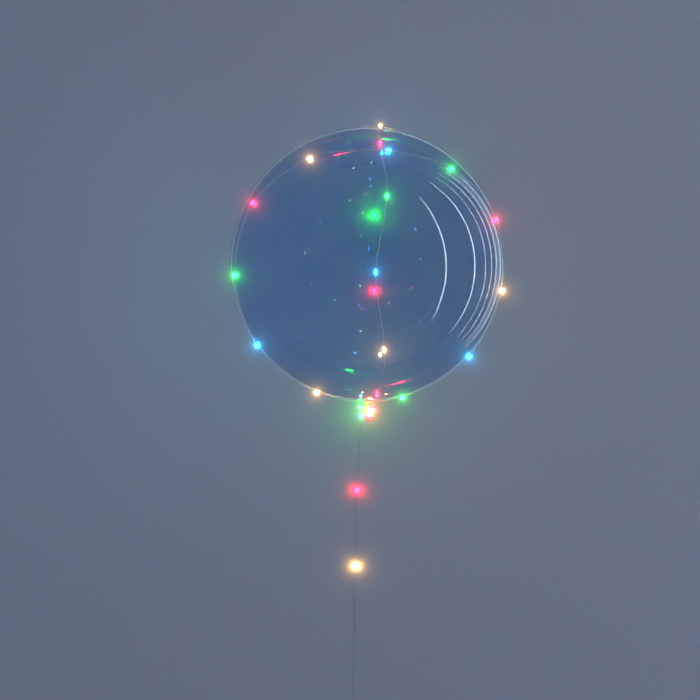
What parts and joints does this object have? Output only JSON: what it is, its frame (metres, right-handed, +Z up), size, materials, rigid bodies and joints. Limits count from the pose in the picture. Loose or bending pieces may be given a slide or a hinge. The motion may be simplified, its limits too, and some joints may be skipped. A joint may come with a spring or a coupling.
{
  "type": "led bubble balloon",
  "caption": "Clear round bubble balloon wound with a thin string of small coloured lamps, tied at its neck, with a lead to a battery case.",
  "frame": {"origin": "middle of the flat spot on which the balloon rests, under the middle of the balloon", "axes": "+Z up; +Y along the balloon's own axis from the neck to the crown; +X to the right, seen from above"},
  "size_m": [0.35, 0.9043, 0.3527],
  "materials": {
    "film": "thin clear plastic film with a faint blue cast",
    "wire": "thin twisted pair of clear-lacquered wires",
    "lamp_red": "drop of clear resin over a red lamp",
    "lamp_yellow": "drop of clear resin over a warm yellow lamp",
    "lamp_blue": "drop of clear resin over a cyan-blue lamp",
    "lamp_green": "drop of clear resin over a green lamp",
    "case_plastic": "moulded plastic, fine matte texture",
    "soft_plastic": "soft black plastic"
  },
  "bodies": {
    "root": {"balloon": "film", "light_wire": "wire", "lead_wire": "wire", "lead_coil": "wire", "lead_end": "wire", "coil_tie": "soft_plastic", "lead_grommet": "soft_plastic", "battery_case": "case_plastic", "battery_lid": "case_plastic", "lamp_01_red": "lamp_red", "lamp_02_yellow": "lamp_yellow", "lamp_03_blue": "lamp_blue", "lamp_04_green": "lamp_green", "lamp_05_red": "lamp_red", "lamp_06_yellow": "lamp_yellow", "lamp_07_blue": "lamp_blue", "lamp_08_green": "lamp_green", "lamp_09_red": "lamp_red", "lamp_10_yellow": "lamp_yellow", "lamp_11_blue": "lamp_blue", "lamp_12_green": "lamp_green", "lamp_13_red": "lamp_red", "lamp_14_yellow": "lamp_yellow", "lamp_15_blue": "lamp_blue", "lamp_16_green": "lamp_green", "lamp_17_red": "lamp_red", "lamp_18_yellow": "lamp_yellow", "lamp_19_blue": "lamp_blue", "lamp_20_green": "lamp_green", "lamp_21_red": "lamp_red", "lamp_22_yellow": "lamp_yellow", "lamp_23_blue": "lamp_blue", "lamp_24_green": "lamp_green", "lamp_25_red": "lamp_red", "lamp_26_yellow": "lamp_yellow", "lamp_27_blue": "lamp_blue", "lamp_28_green": "lamp_green", "lamp_29_red": "lamp_red", "lamp_30_yellow": "lamp_yellow"}
  },
  "joints": []
}
